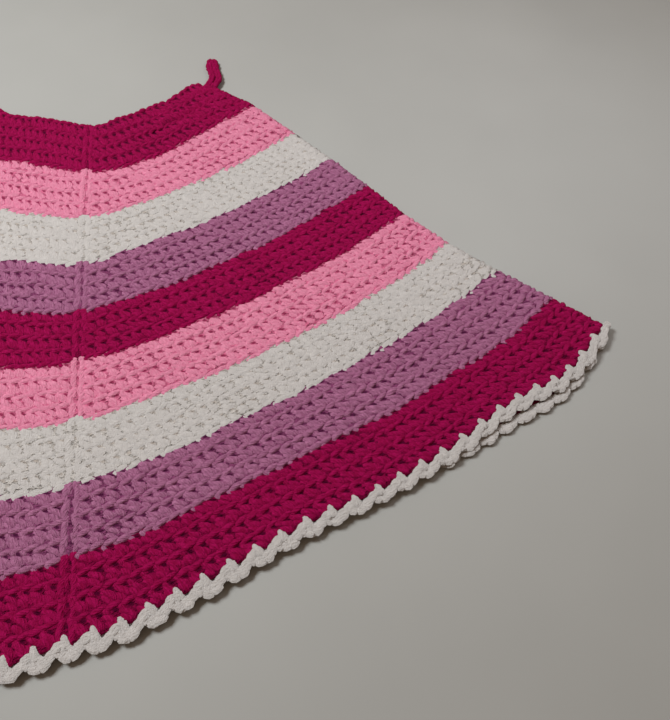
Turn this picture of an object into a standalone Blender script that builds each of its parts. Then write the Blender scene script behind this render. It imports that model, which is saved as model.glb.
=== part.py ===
"""Crocheted skirt in nine striped bands, lying flat on a table.

The skirt is one flared tube, worked in rounds from the waist down, with an increase line down
its centre front and centre back. Laid flat, it is two layers that meet in a fold at each side.
Units are metres, +Z is up, +X runs to the right fold and +Y points from the hem to the waist.
"""
import math

import bmesh
import bpy
import numpy as np

# Yarn, gauge and cloth
ROUNDS_PER_STRIPE = 4
WALL = 0.0034             # one layer of half double crochet in worsted yarn
LAYER_GAP = 0.0006        # air between the front and the back layer
RIDGE = 0.0009            # how far a round stands above the groove beside it
SEAM_GAP = 0.0003
FOLD_RADIUS = WALL + LAYER_GAP / 2

# How the tube lies. One row for each edge between stripes, from the waist to the hem.
# The drops are measured down from the waist's centre, in millimetres. The rises are in degrees:
# centre_rise and left_rise leave the centre line to the right and to the left.
LAY_COLUMNS = ("centre_drop", "fold_out", "fold_drop", "centre_rise", "left_rise", "fold_rise")
LAY_ROWS = (
    (0, 107, -35, 4, 24, 8),
    (51, 137, -8, -10, 21, 29),
    (102, 166.5, 32, 12, 20, 36),
    (146, 192, 68, 15, 14, 33),
    (187, 214, 101, 10, 8, 33),
    (226, 236, 135, 9, 0, 32),
    (269, 261, 168, 11, 0, 35),
    (313, 289, 199, 16, 2, 33),
    (355, 318, 228, 19, 0, 36),
    (398, 347, 257, 19, 0, 37),
)
LAY = {name: np.array([row[i] for row in LAY_ROWS], float) for i, name in enumerate(LAY_COLUMNS)}
STRIPES = len(LAY_ROWS) - 1
STEEPEST_RISE = 20.0      # degrees between a stripe's edge and a level line, where it is narrowest

# Slow waves of the hem, which fade out upwards. The drop is in millimetres.
HEM_WAVE_COLUMNS = ("across", "half_width", "drop")
HEM_WAVES = (
    (0.36, 0.12, -2.2),
    (0.72, 0.12, -3.0),
    (0.88, 0.11, 4.8),
)
HEM_WAVE_START = 7.0      # the stripe edge that lies still again

# The corner of the waist stands up beside each fold.
PEAK_ACROSS = 0.80
PEAK_HALF_WIDTH = 0.20
PEAK_RISE = 0.0100
PEAK_END = 0.8            # the level at which it has faded out

# The back layer lies a little lower than the front beside each fold, and higher at the centre.
BACK_PEEK = 0.0070
BACK_TUCK = 0.0025
PEEK_CENTRE = 0.77        # as a share of the way from the centre line to the fold
PEEK_REACH = 0.23

# Soft troughs in the top of the front layer, in millimetres in the same frame as the drops
CREASE_COLUMNS = ("x_start", "y_start", "x_end", "y_end", "depth", "half_width")
CREASE_ROWS = (
    (54, -17, 92, 10, 1.8, 6.0),
    (-88, -2, -56, -24, 0.8, 8.0),
)

# White edging: two stitches of the last round to each chain loop
LOOPS_PER_LAYER = 50
LOOP_STEPS = 6
EDGING_BAND = 0.0070      # width where a loop is caught into the hem
EDGING_DEPTH = 0.0038     # how much further the middle of a loop hangs
EDGING_EYE = 0.0032       # the slit between the hem and the middle of a loop
EDGING_SKEW = 1.4         # more than 1 moves the deepest point of a loop to the right

# Chain loop at the right corner of the waist
LOOP_CORD = 0.0044
LOOP_STEPS_ALONG = 24
LOOP_ROUTE_COLUMNS = ("x", "y", "height")
LOOP_ROUTE = (            # millimetres, in the same frame as the drops
    (98.6, 37.5, 3.7),
    (103.0, 46.5, 3.1),
    (105.2, 54.0, 2.5),
    (104.4, 63.0, 2.4),
    (103.6, 71.5, 2.4),
    (105.8, 77.0, 2.4),
    (108.8, 73.6, 2.4),
    (109.4, 65.0, 2.4),
    (110.8, 56.0, 2.5),
    (110.6, 48.0, 3.1),
    (104.6, 37.0, 3.7),
)

# Mesh density
FRONT_COLUMNS = 20
BACK_COLUMNS = 16
FOLD_COLUMNS = 4
RIDGE_STEPS = 2

# Yarn colours, linear, as seen on the cloth in soft light
YARNS = {
    "magenta": (0.235, 0.006, 0.058),
    "pink": (0.680, 0.180, 0.300),
    "white": (0.600, 0.575, 0.550),
    "lilac": (0.290, 0.105, 0.190),
}
STRIPE_ORDER = ("magenta", "pink", "white", "lilac")
MILLIMETRE = 0.001


def clear_scene():
    for obj in list(bpy.data.objects):
        bpy.data.objects.remove(obj, do_unlink=True)


def yarn_material(colour_name):
    material = bpy.data.materials.new("yarn_" + colour_name)
    material.use_nodes = True
    shader = material.node_tree.nodes["Principled BSDF"]
    shader.inputs["Base Color"].default_value = (*YARNS[colour_name], 1.0)
    shader.inputs["Roughness"].default_value = 0.9
    shader.inputs["Metallic"].default_value = 0.0
    return material


def lay_value(column, level):
    """A column of the lay table at any level: 0 is the waist and STRIPES is the hem."""
    return float(np.interp(level, range(STRIPES + 1), LAY[column]))


def bell(distance, half_width):
    """1 at no distance, falling smoothly to 0 at half_width."""
    return math.cos(math.pi / 2 * min(1.0, abs(distance) / half_width)) ** 2


def hem_wave(level, across):
    """How far the waves of the hem lower a point."""
    share = max(0.0, (level - HEM_WAVE_START) / (STRIPES - HEM_WAVE_START)) ** 2
    waves = [dict(zip(HEM_WAVE_COLUMNS, row)) for row in HEM_WAVES]
    drops = [wave["drop"] * bell(across - wave["across"], wave["half_width"]) for wave in waves]
    return share * sum(drops) * MILLIMETRE


def waist_peak(level, across):
    """How far the corner of the waist stands above the round's own line."""
    share = max(0.0, 1.0 - level / PEAK_END) ** 2
    return PEAK_RISE * share * bell(across - PEAK_ACROSS, PEAK_HALF_WIDTH)


def row_length(level):
    """Straight distance from the centre line to the right fold."""
    out = lay_value("fold_out", level)
    rise = lay_value("centre_drop", level) - lay_value("fold_drop", level)
    return math.hypot(out, rise) * MILLIMETRE


def row_point(level, across):
    """A point of a round as it lies: across runs from -1 at the left fold to 1 at the right."""
    chord = row_length(level)
    start = np.array((0.0, -lay_value("centre_drop", level))) * MILLIMETRE
    end = np.array((lay_value("fold_out", level), -lay_value("fold_drop", level))) * MILLIMETRE
    leave = math.radians(lay_value("left_rise" if across < 0 else "centre_rise", level))
    arrive = math.radians(lay_value("fold_rise", level))
    leave_by = chord * np.array((math.cos(leave), math.sin(leave)))
    arrive_by = chord * np.array((math.cos(arrive), math.sin(arrive)))
    t = abs(across)
    point = (
        start * (2 * t**3 - 3 * t**2 + 1)
        + leave_by * (t**3 - 2 * t**2 + t)
        + end * (3 * t**2 - 2 * t**3)
        + arrive_by * (t**3 - t**2)
    )
    y = point[1] - hem_wave(level, t) + waist_peak(level, t)
    return np.array((math.copysign(point[0], across), y))


def back_shift(level, across):
    """How far the back layer lies below the front: more near the folds, less at the centre."""
    peek = BACK_PEEK * bell(abs(across) - PEEK_CENTRE, PEEK_REACH)
    tuck = BACK_TUCK * bell(across, PEEK_CENTRE)
    return level / STRIPES * (tuck - peek)


def groove(level):
    """Depth of the top surface below a round's crown: all of RIDGE between two rounds."""
    through_round = (level * ROUNDS_PER_STRIPE) % 1.0
    return RIDGE * (1.0 - math.sin(math.pi * through_round))


def crease_depth(x, y):
    """How far the soft troughs lower the top surface at a point."""
    depth = 0.0
    for values in CREASE_ROWS:
        crease = dict(zip(CREASE_COLUMNS, values))
        start = np.array((crease["x_start"], crease["y_start"]))
        along = np.array((crease["x_end"], crease["y_end"])) - start
        point = np.array((x, y)) / MILLIMETRE - start
        share = min(1.0, max(0.0, float(point @ along / (along @ along))))
        distance = float(np.linalg.norm(point - share * along))
        depth += crease["depth"] * math.exp(-((distance / crease["half_width"]) ** 2))
    return depth * MILLIMETRE


def section_stations(level):
    """Once round the flattened tube: (across, turn), where turn is 0 on the front layer, pi on
    the back, and between them on a fold."""
    flat = 1.0 - FOLD_RADIUS / row_length(level)
    stations = [(flat * v, 0.0) for v in np.linspace(-1.0, 1.0, FRONT_COLUMNS + 1)]
    turns = np.linspace(0.0, math.pi, FOLD_COLUMNS + 1)
    stations += [(flat, turn) for turn in turns[1:-1]]
    stations += [(flat * v, math.pi) for v in np.linspace(1.0, -1.0, BACK_COLUMNS + 1)]
    stations += [(-flat, turn) for turn in turns[-2:0:-1]]
    return stations


def tube_point(level, across, turn, outer):
    """A point on the outer or the inner face of the flattened tube."""
    radius = FOLD_RADIUS if outer else LAYER_GAP / 2
    top_share = (1.0 + math.cos(turn)) / 2
    beyond = math.sin(turn) * radius / row_length(level)
    v = across + math.copysign(beyond, across)
    x, y = row_point(level, v)
    if outer:
        radius -= (groove(level) + crease_depth(x, y)) * top_share
    y += back_shift(level, v) * (1.0 - top_share)
    return (x, y, FOLD_RADIUS + radius * math.cos(turn))


def stitch_rings(mesh, first, second):
    """Faces between two closed rings of the same number of vertices."""
    count = len(first)
    for i in range(count):
        j = (i + 1) % count
        mesh.faces.new((first[i], first[j], second[j], second[i]))


def finish_mesh(name, mesh, material, collection):
    bmesh.ops.recalc_face_normals(mesh, faces=mesh.faces)
    data = bpy.data.meshes.new(name)
    mesh.to_mesh(data)
    mesh.free()
    data.materials.append(material)
    data.shade_smooth()
    obj = bpy.data.objects.new(name, data)
    collection.objects.link(obj)
    return obj


def make_stripe(name, first_level, material, collection):
    """One band of the tube: an outer face with a ridge for each round, over a plain inside."""
    seam = SEAM_GAP / 2 / row_height(first_level)
    top = first_level + seam
    bottom = first_level + 1 - seam
    outer_levels = np.linspace(top, bottom, ROUNDS_PER_STRIPE * RIDGE_STEPS + 1)
    mesh = bmesh.new()
    outer_rings = []
    for level in outer_levels:
        stations = section_stations(level)
        points = [tube_point(level, across, turn, True) for across, turn in stations]
        outer_rings.append([mesh.verts.new(point) for point in points])
    inner_rings = []
    for level in (top, bottom):
        stations = section_stations(level)
        points = [tube_point(level, across, turn, False) for across, turn in stations]
        inner_rings.append([mesh.verts.new(point) for point in points])
    for upper, lower in zip(outer_rings, outer_rings[1:]):
        stitch_rings(mesh, upper, lower)
    stitch_rings(mesh, inner_rings[1], inner_rings[0])
    stitch_rings(mesh, inner_rings[0], outer_rings[0])
    stitch_rings(mesh, outer_rings[-1], inner_rings[1])
    return finish_mesh(name, mesh, material, collection)


def row_height(level):
    """Least distance between this edge of the stripes and the next."""
    centre = lay_value("centre_drop", level + 1) - lay_value("centre_drop", level)
    return centre * math.cos(math.radians(STEEPEST_RISE)) * MILLIMETRE


def hem_line(back):
    """The hem's corner points as the last band has them: (across, x, y) from left to right."""
    flat = 1.0 - FOLD_RADIUS / row_length(STRIPES)
    columns = BACK_COLUMNS if back else FRONT_COLUMNS
    line = []
    for across in (-1.0, *(flat * v for v in np.linspace(-1.0, 1.0, columns + 1)), 1.0):
        x, y = row_point(STRIPES, across)
        line.append((across, x, y + (back_shift(STRIPES, across) if back else 0.0)))
    return np.array(line)


def hem_frame(line, across):
    """A point of the hem and the direction straight out of it."""
    step = 1.0 / LOOPS_PER_LAYER
    low, high = max(-1.0, across - step), min(1.0, across + step)
    ends = [np.array([np.interp(v, line[:, 0], line[:, i]) for i in (1, 2)])
            for v in (low, across, high)]
    along = (ends[2] - ends[0]) / np.linalg.norm(ends[2] - ends[0])
    return ends[1], np.array((along[1], -along[0]))


def make_edging(name, back, material, collection):
    """A scalloped band outside the hem: each chain loop is caught at its two ends."""
    floor = 0.0 if back else WALL + LAYER_GAP
    line = hem_line(back)
    mesh = bmesh.new()
    sections = []
    steps = LOOPS_PER_LAYER * LOOP_STEPS
    for i in range(steps + 1):
        across = -1.0 + 2.0 * i / steps
        bow = math.sin(math.pi * ((i % LOOP_STEPS) / LOOP_STEPS) ** EDGING_SKEW)
        point, outward = hem_frame(line, across)
        near = SEAM_GAP + EDGING_EYE * bow**1.5
        far = SEAM_GAP + EDGING_BAND + EDGING_DEPTH * bow**0.7
        corners = ((near, floor), (far, floor), (far, floor + WALL), (near, floor + WALL))
        sections.append([mesh.verts.new((*(point + outward * d), z)) for d, z in corners])
    for first, second in zip(sections, sections[1:]):
        stitch_rings(mesh, first, second)
    mesh.faces.new(sections[0])
    mesh.faces.new(sections[-1])
    return finish_mesh(name, mesh, material, collection)


def smooth_route(points, count):
    """Evenly numbered points on a Catmull-Rom curve through the given ones."""
    padded = np.vstack((2 * points[0] - points[1], points, 2 * points[-1] - points[-2]))
    route = []
    for t in np.linspace(0.0, len(points) - 1.0, count):
        i = min(int(t), len(points) - 2)
        u = t - i
        a, b, c, d = padded[i:i + 4]
        route.append(0.5 * (2 * b + (c - a) * u + (2 * a - 5 * b + 4 * c - d) * u**2
                            + (3 * b - a - 3 * c + d) * u**3))
    return route


def make_waist_loop(name, material, collection):
    """The chain loop at the waist: a cord that leaves the fold, turns and comes back."""
    route = smooth_route(np.array(LOOP_ROUTE) * MILLIMETRE, LOOP_STEPS_ALONG)
    curve = bpy.data.curves.new(name, "CURVE")
    curve.dimensions = "3D"
    curve.bevel_depth = LOOP_CORD / 2
    curve.bevel_resolution = 2
    curve.use_fill_caps = True
    spline = curve.splines.new("POLY")
    spline.points.add(len(route) - 1)
    for target, point in zip(spline.points, route):
        target.co = (*point, 1.0)
    curve.materials.append(material)
    obj = bpy.data.objects.new(name, curve)
    collection.objects.link(obj)
    return obj


def centre_on_origin(objects):
    """Put the middle of the skirt's box over the origin."""
    bpy.context.view_layer.update()
    corners = [obj.matrix_world @ v.co for obj in objects if obj.type == "MESH"
               for v in obj.data.vertices]
    loop_top = max(point[1] for point in LOOP_ROUTE) * MILLIMETRE + LOOP_CORD / 2
    low = min(corner.y for corner in corners)
    high = max(max(corner.y for corner in corners), loop_top)
    for obj in objects:
        obj.location.y = -(low + high) / 2


def main():
    clear_scene()
    collection = bpy.data.collections.new("crocheted_skirt")
    bpy.context.scene.collection.children.link(collection)
    materials = {colour: yarn_material(colour) for colour in YARNS}
    objects = []
    for i in range(STRIPES):
        colour = STRIPE_ORDER[i % len(STRIPE_ORDER)]
        name = f"stripe_{i + 1}_{colour}"
        objects.append(make_stripe(name, i, materials[colour], collection))
    objects.append(make_edging("edging_front", False, materials["white"], collection))
    objects.append(make_edging("edging_back", True, materials["white"], collection))
    objects.append(make_waist_loop("waist_loop", materials["magenta"], collection))
    centre_on_origin(objects)


main()
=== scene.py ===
"""Looks of the crocheted skirt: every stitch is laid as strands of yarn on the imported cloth.

Units are metres, +Z is up, +X runs to the right fold and +Y from the hem to the waist.
"""
import math

import bpy
import numpy as np
from mathutils import Matrix, Vector


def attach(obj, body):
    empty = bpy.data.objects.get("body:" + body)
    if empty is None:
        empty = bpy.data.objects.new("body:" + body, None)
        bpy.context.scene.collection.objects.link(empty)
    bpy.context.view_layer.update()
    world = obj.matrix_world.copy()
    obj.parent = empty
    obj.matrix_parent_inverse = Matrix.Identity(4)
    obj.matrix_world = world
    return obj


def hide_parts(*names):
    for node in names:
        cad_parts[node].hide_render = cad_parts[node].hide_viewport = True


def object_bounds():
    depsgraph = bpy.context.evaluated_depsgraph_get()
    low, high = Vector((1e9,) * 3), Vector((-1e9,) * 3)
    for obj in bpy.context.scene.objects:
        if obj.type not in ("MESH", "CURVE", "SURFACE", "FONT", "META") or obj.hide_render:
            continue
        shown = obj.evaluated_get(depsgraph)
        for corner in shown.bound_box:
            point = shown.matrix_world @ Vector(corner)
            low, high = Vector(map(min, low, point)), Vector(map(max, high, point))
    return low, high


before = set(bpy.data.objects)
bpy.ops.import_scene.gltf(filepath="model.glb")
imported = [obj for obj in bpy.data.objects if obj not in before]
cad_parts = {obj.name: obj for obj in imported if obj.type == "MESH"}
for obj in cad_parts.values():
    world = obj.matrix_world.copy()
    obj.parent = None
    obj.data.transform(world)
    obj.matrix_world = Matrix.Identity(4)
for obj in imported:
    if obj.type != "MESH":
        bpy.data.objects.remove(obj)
CAD_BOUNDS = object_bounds()

MILLIMETRE = 0.001


def records(columns, rows):
    """The rows of a table, each with its values by the names of the columns."""
    return [dict(zip(columns, row)) for row in rows]


def named(columns, rows):
    """The columns of a table, each as an array by its name."""
    return dict(zip(columns, np.array(rows, float).T))


# ---------------------------------------------------------------- the cloth, as the model has it
ROUNDS_PER_STRIPE = 4
WALL = 0.0034
LAYER_GAP = 0.0006
FOLD_RADIUS = WALL + LAYER_GAP / 2             # half the height of the flattened tube

# One row for each edge between stripes, from the waist to the hem: millimetres and degrees
LAY_COLUMNS = ("centre_drop", "fold_out", "fold_drop", "centre_rise", "left_rise", "fold_rise")
LAY_ROWS = (
    (0, 107, -35, 4, 24, 8),
    (51, 137, -8, -10, 21, 29),
    (102, 166.5, 32, 12, 20, 36),
    (146, 192, 68, 15, 14, 33),
    (187, 214, 101, 10, 8, 33),
    (226, 236, 135, 9, 0, 32),
    (269, 261, 168, 11, 0, 35),
    (313, 289, 199, 16, 2, 33),
    (355, 318, 228, 19, 0, 36),
    (398, 347, 257, 19, 0, 37),
)
LAY = named(LAY_COLUMNS, LAY_ROWS)
STRIPES = len(LAY_ROWS) - 1
ROUNDS = STRIPES * ROUNDS_PER_STRIPE

# Waves of the rounds: each grows from one level to its full drop, in millimetres, at another
WAVE_COLUMNS = ("across", "half_width", "drop", "from_level", "full_level")
WAVE_ROWS = (
    (0.00, 0.13, -3.4, 5, 7),
    (0.07, 0.08, 3.4, 8, 9),
    (0.17, 0.11, 1.8, 7, 9),
    (0.36, 0.12, -2.2, 7, 9),
    (0.72, 0.12, -3.0, 7, 9),
    (0.88, 0.11, 4.8, 7, 9),
)
WAVES = records(WAVE_COLUMNS, WAVE_ROWS)

# The corner of the waist stands up beside each fold
PEAK_ACROSS = 0.80
PEAK_HALF_WIDTH = 0.20
PEAK_RISE = 0.0100
PEAK_END = 0.8            # the level at which it has faded out

# The back layer lies a little lower than the front beside each fold, and higher at the centre
BACK_PEEK = 0.0070
BACK_TUCK = 0.0025
PEEK_CENTRE = 0.77
PEEK_REACH = 0.23

# Creases of the top layer: a line on the cloth, its depth and its reach to each side, millimetres
CREASE_COLUMNS = ("x_start", "y_start", "x_end", "y_end", "depth", "half_width")
CREASE_ROWS = (
    (54, -17, 93, 12, 3.0, 3.6),
    (51, -12, 88, 18, -1.0, 4.4),
    (86, -7, 99, -3, 1.6, 2.8),
    (-88, -2, -56, -24, 0.8, 8.0),
)
CREASES = records(CREASE_COLUMNS, CREASE_ROWS)
DEEPEST_SINK = 0.88       # share of the top layer's height that a crease may take

# Slow waves: turns in a metre each way, where they start, and how high they are
WAVE_TRAIN_COLUMNS = ("x_turns", "y_turns", "start", "height")
SWELLS = records(WAVE_TRAIN_COLUMNS, (         # of the top layer's height, in millimetres
    (7.0, 9.0, 0.3, 0.30),
    (-11.0, 15.0, 2.1, 0.22),
    (19.0, 5.0, 4.4, 0.18),
))
WOBBLES = records(WAVE_TRAIN_COLUMNS, (        # of a round along the cloth, in rounds
    (13.0, 8.0, 1.0, 0.050),
    (-29.0, 17.0, 3.0, 0.040),
    (41.0, 33.0, 5.0, 0.030),
))
WOBBLE_DRIFT = 0.01       # metres by which each round's wobble moves on from the last
WOBBLE_FADE = 4.0         # rounds above the hem over which the wobble dies out

LOOPS_PER_LAYER = 50      # of the edging

LOOP_CORD = 0.0044        # how thick the waist loop is
LOOP_ROUTE = (            # x, y and height of its middle, millimetres
    (98.6, 37.5, 3.7),
    (103.0, 46.5, 3.1),
    (105.2, 54.0, 2.5),
    (104.4, 63.0, 2.4),
    (103.6, 71.5, 2.4),
    (105.8, 77.0, 2.4),
    (108.8, 73.6, 2.4),
    (109.4, 65.0, 2.4),
    (110.8, 56.0, 2.5),
    (110.6, 48.0, 3.1),
    (104.6, 37.0, 3.7),
)

# ---------------------------------------------------------------- yarn
STRIPE_ORDER = ("magenta", "pink", "white", "lilac")
YARNS = {                 # linear colour of the yarn's surface
    "magenta": (0.395, 0.004, 0.093),
    "pink": (0.850, 0.300, 0.465),
    "white": (0.595, 0.567, 0.567),
    "lilac": (0.470, 0.180, 0.335),
}
SHADED_GROUNDS = {               # the same yarn painted darker as shade between two stitches, and darker still as painted shadow down in a hole
    "magenta": ((0.220, 0.001, 0.047), (0.080, 0.000, 0.022)),
    "pink": ((0.690, 0.165, 0.305), (0.330, 0.032, 0.100)),
    "white": ((0.600, 0.565, 0.550), (0.520, 0.465, 0.435)),
    "lilac": ((0.260, 0.062, 0.165), (0.095, 0.012, 0.058)),
}
# How much each yarn shows its fibres and the painted shade in its hollows and down its sides, how
# thick its strands are, how far they stand up, and how softly they are lit
LOOK_COLUMNS = ("streak_bump", "streak_colour", "streak_shade", "fibre_bump", "fibre_colour",
                "fibre_shade", "side_shade", "fullness", "relief", "fluff")
LOOK_ROWS = {
    "magenta": (0.8, 1.00, 0.78, 0.45, 0.8, 0.74, 0.82, 1.10, 0.95, 0.22),
    "pink": (0.6, 0.90, 0.86, 0.50, 0.7, 0.84, 0.50, 1.14, 0.86, 0.50),
    "white": (0.4, 0.60, 1.06, 0.50, 0.5, 0.93, 0.15, 1.27, 0.72, 0.78),
    "lilac": (0.8, 1.00, 0.78, 0.45, 0.8, 0.76, 0.80, 1.12, 0.94, 0.20),
}
LOOKS = {name: dict(zip(LOOK_COLUMNS, row)) for name, row in LOOK_ROWS.items()}

# ---------------------------------------------------------------- stitches
WAIST_STITCHES = 20       # from the centre line to the fold on one layer
HEM_STITCHES = 50
MITRE_HALF = 0.6          # stitches on each side of a centre line that the increase takes
BRICK_SHIFT = 0.5         # each round sits half a stitch on from the last
BRICK_FADE = 4.0          # stitches over which that shift fades out beside a centre line
FRONT_MARGIN = 1.5        # stitches past the right fold that still go with the front

# Where each piece's random draws start
SEEDS = {"stitches": 100, "front_yarn": 200, "back_yarn": 300, "edging": 7, "edging_yarn": 9,
         "loop": 5, "loop_yarn": 11}
# How unevenly the stitches are made, in the units of a strand's columns, and the radius as a share
JITTER = {"around": 0.050, "down": 0.035, "height": 0.10, "radius": 0.07}

# A stitch as strands. around is in stitches to the right, down in rounds from the rope line above,
# height and radius in millimetres: the height is the strand's middle above the middle of the skirt
STRAND_COLUMNS = ("around", "down", "height", "radius")
STITCH_STRANDS = {
    "shoulder": (
        (-0.12, 0.24, 1.5, 1.45),
        (0.12, 0.33, 1.9, 1.80),
        (0.40, 0.44, 2.1, 2.05),
        (0.68, 0.56, 2.0, 2.05),
        (0.90, 0.70, 1.7, 1.75),
        (1.02, 0.90, 1.3, 1.35),
    ),
    "belly": (
        (-0.10, 0.48, 1.4, 1.45),
        (0.12, 0.57, 1.8, 1.85),
        (0.36, 0.68, 2.0, 2.05),
        (0.58, 0.80, 1.8, 1.85),
        (0.76, 0.98, 1.2, 1.35),
    ),
}
CHAIN_STRANDS = {         # the front loop of the round above, and the bit of it that dives down
    "rope": (
        (-0.06, 0.09, 1.6, 1.20),
        (0.16, 0.06, 2.3, 1.60),
        (0.44, 0.01, 2.7, 1.75),
        (0.75, -0.03, 2.7, 1.70),
        (1.02, -0.06, 2.2, 1.45),
        (1.18, -0.09, 1.3, 1.15),
    ),
    "tooth": (
        (-0.16, 0.03, 1.6, 1.20),
        (-0.02, 0.13, 2.1, 1.50),
        (0.15, 0.24, 2.2, 1.50),
        (0.32, 0.37, 1.4, 1.15),
    ),
}
MITRE_STRANDS = {         # two long stitches that leave the same hole
    "left_outer": (
        (-0.14, -0.14, 1.6, 1.50),
        (-0.38, 0.12, 2.0, 2.05),
        (-0.44, 0.42, 2.0, 2.15),
        (-0.36, 0.74, 1.9, 2.00),
        (-0.22, 1.00, 1.3, 1.50),
    ),
    "left_inner": (
        (-0.06, -0.26, 1.4, 1.30),
        (-0.16, -0.08, 2.2, 1.70),
        (-0.19, 0.14, 2.3, 1.75),
        (-0.17, 0.32, 2.0, 1.60),
        (-0.11, 0.50, 1.2, 1.25),
    ),
    "right_outer": (
        (0.20, -0.14, 1.6, 1.50),
        (0.45, 0.12, 2.0, 2.05),
        (0.52, 0.42, 2.0, 2.15),
        (0.44, 0.74, 1.9, 2.00),
        (0.28, 1.00, 1.3, 1.50),
    ),
    "right_inner": (
        (0.11, -0.24, 1.4, 1.25),
        (0.22, -0.08, 2.1, 1.60),
        (0.31, 0.12, 2.2, 1.70),
        (0.35, 0.32, 2.0, 1.60),
        (0.31, 0.52, 1.2, 1.25),
    ),
    "left_rope": (
        (-0.62, 0.05, 1.7, 1.30),
        (-0.36, 0.00, 2.4, 1.60),
        (-0.10, -0.06, 1.8, 1.30),
    ),
    "right_rope": (
        (0.10, 0.04, 1.7, 1.30),
        (0.36, 0.00, 2.4, 1.60),
        (0.66, -0.05, 1.8, 1.30),
    ),
}
STRAND_FLATTEN = 0.82     # a strand's thickness as a share of its width
FRONT_RINGS = {"shoulder": 6, "belly": 5, "rope": 5, "tooth": 4}
BACK_RINGS = {"shoulder": 4, "belly": 4, "rope": 4}
MITRE_RINGS = 6
FRONT_SIDES = 6
BACK_SIDES = 4


def lay_value(column, level):
    """A column of the lay table at any level, running on past the waist and the hem."""
    row = np.clip(np.floor(level), 0, STRIPES - 1).astype(int)
    share = level - row
    return LAY[column][row] * (1.0 - share) + LAY[column][row + 1] * share


def bell(distance, half_width):
    """1 at the middle, falling smoothly to 0 at the half width."""
    return np.cos(math.pi / 2 * np.minimum(1.0, np.abs(distance) / half_width)) ** 2


def wave_drop(level, across):
    drop = 0.0
    for wave in WAVES:
        share = (level - wave["from_level"]) / (wave["full_level"] - wave["from_level"])
        height = wave["drop"] * np.clip(share, 0.0, 1.0) ** 2
        drop = drop + height * bell(across - wave["across"], wave["half_width"])
    return drop * MILLIMETRE


def waist_peak(level, across):
    share = np.clip(1.0 - level / PEAK_END, 0.0, 1.0) ** 2
    return PEAK_RISE * share * bell(across - PEAK_ACROSS, PEAK_HALF_WIDTH)


def row_length(level):
    """Straight distance from the centre line to the right fold."""
    out = lay_value("fold_out", level)
    rise = lay_value("centre_drop", level) - lay_value("fold_drop", level)
    return np.hypot(out, rise) * MILLIMETRE


def row_point(level, across):
    """x and y of points of a round as it lies: across is -1 at the left fold, 1 at the right."""
    chord = row_length(level)
    start_y = -lay_value("centre_drop", level) * MILLIMETRE
    end_x = lay_value("fold_out", level) * MILLIMETRE
    end_y = -lay_value("fold_drop", level) * MILLIMETRE
    leave = np.radians(np.where(across < 0, lay_value("left_rise", level),
                                lay_value("centre_rise", level)))
    arrive = np.radians(lay_value("fold_rise", level))
    t = np.abs(across)
    start_share = 2 * t**3 - 3 * t**2 + 1
    leave_share = (t**3 - 2 * t**2 + t) * chord
    end_share = 3 * t**2 - 2 * t**3
    arrive_share = (t**3 - t**2) * chord
    x = end_x * end_share + np.cos(leave) * leave_share + np.cos(arrive) * arrive_share
    y = (start_y * start_share + end_y * end_share
         + np.sin(leave) * leave_share + np.sin(arrive) * arrive_share)
    return np.copysign(x, across), y - wave_drop(level, t) + waist_peak(level, t)


def back_shift(level, across):
    """How far the back layer lies from the front one, towards the waist."""
    peek = BACK_PEEK * bell(np.abs(across) - PEEK_CENTRE, PEEK_REACH)
    tuck = BACK_TUCK * bell(across, PEEK_CENTRE)
    return level / STRIPES * (tuck - peek)


def crease_depth(x, y):
    depth = 0.0
    for crease in CREASES:
        start = np.array((crease["x_start"], crease["y_start"]))
        along = np.array((crease["x_end"], crease["y_end"])) - start
        dx = x / MILLIMETRE - start[0]
        dy = y / MILLIMETRE - start[1]
        share = np.clip((dx * along[0] + dy * along[1]) / (along @ along), 0.0, 1.0)
        distance = np.hypot(dx - share * along[0], dy - share * along[1])
        depth = depth + crease["depth"] * np.exp(-((distance / crease["half_width"]) ** 2))
    return depth * MILLIMETRE


def slow_waves(waves, x, y):
    return sum(wave["height"]
               * np.sin(2 * math.pi * (wave["x_turns"] * x + wave["y_turns"] * y) + wave["start"])
               for wave in waves)


def wrap(level, around):
    """across and turn once round the flat tube. around is 0 at the centre front, 1 at the right
    fold, 2 at the centre back and 3 at the left fold."""
    place = (around + 1.0) % 4.0 - 1.0
    behind = place > 1.0
    side = np.where(behind, 2.0 - place, place)
    length = row_length(level)
    flat = length - FOLD_RADIUS
    path = np.abs(side) * (flat + FOLD_RADIUS * math.pi / 2)
    bend = np.maximum(path - flat, 0.0) / FOLD_RADIUS
    across = np.copysign(np.minimum(path, flat) / length, side)
    return across, np.where(behind, math.pi - bend, bend)


def tube_place(level, around, radius):
    """Points at a distance radius from the middle of the flattened tube, and the way out there."""
    across, turn = wrap(level, around)
    top_share = (1.0 + np.cos(turn)) / 2
    v = across + np.copysign(np.sin(turn) * radius / row_length(level), across)
    x, y = row_point(level, v)
    sink = crease_depth(x, y) - slow_waves(SWELLS, x, y) * MILLIMETRE
    radius = radius * (1.0 - np.minimum(sink / FOLD_RADIUS, DEEPEST_SINK) * top_share)
    y = y + back_shift(level, v) * (1.0 - top_share)
    point = np.stack((x, y + SHIFT_Y, FOLD_RADIUS + radius * np.cos(turn)), -1)
    outward = np.stack((np.copysign(np.sin(turn), across), 0.0 * x, np.cos(turn)), -1)
    return point, outward


def find_shift():
    """How far the model moved the skirt along Y to centre its box: the loop is its top end."""
    loop_top = max(point[1] for point in LOOP_ROUTE) * MILLIMETRE + LOOP_CORD / 2
    return -CAD_BOUNDS[0][1] - loop_top


SHIFT_Y = find_shift()


# ---------------------------------------------------------------- tubes of yarn
STRAND_MAP = "strand"     # metres along a strand, and the share of a turn round it
LUMPS = 0.10              # unevenness of a strand's surface, as a share of its radius
FLOOR_CLEARANCE = 0.0001
SHORTEST = 1e-12          # stands in for the length of a vector that has none
# How far on in the pattern of its fibres each strand starts, and each batch of strands
STRAND_STEP = 0.0137
BATCH_STEP = 0.37


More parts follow.
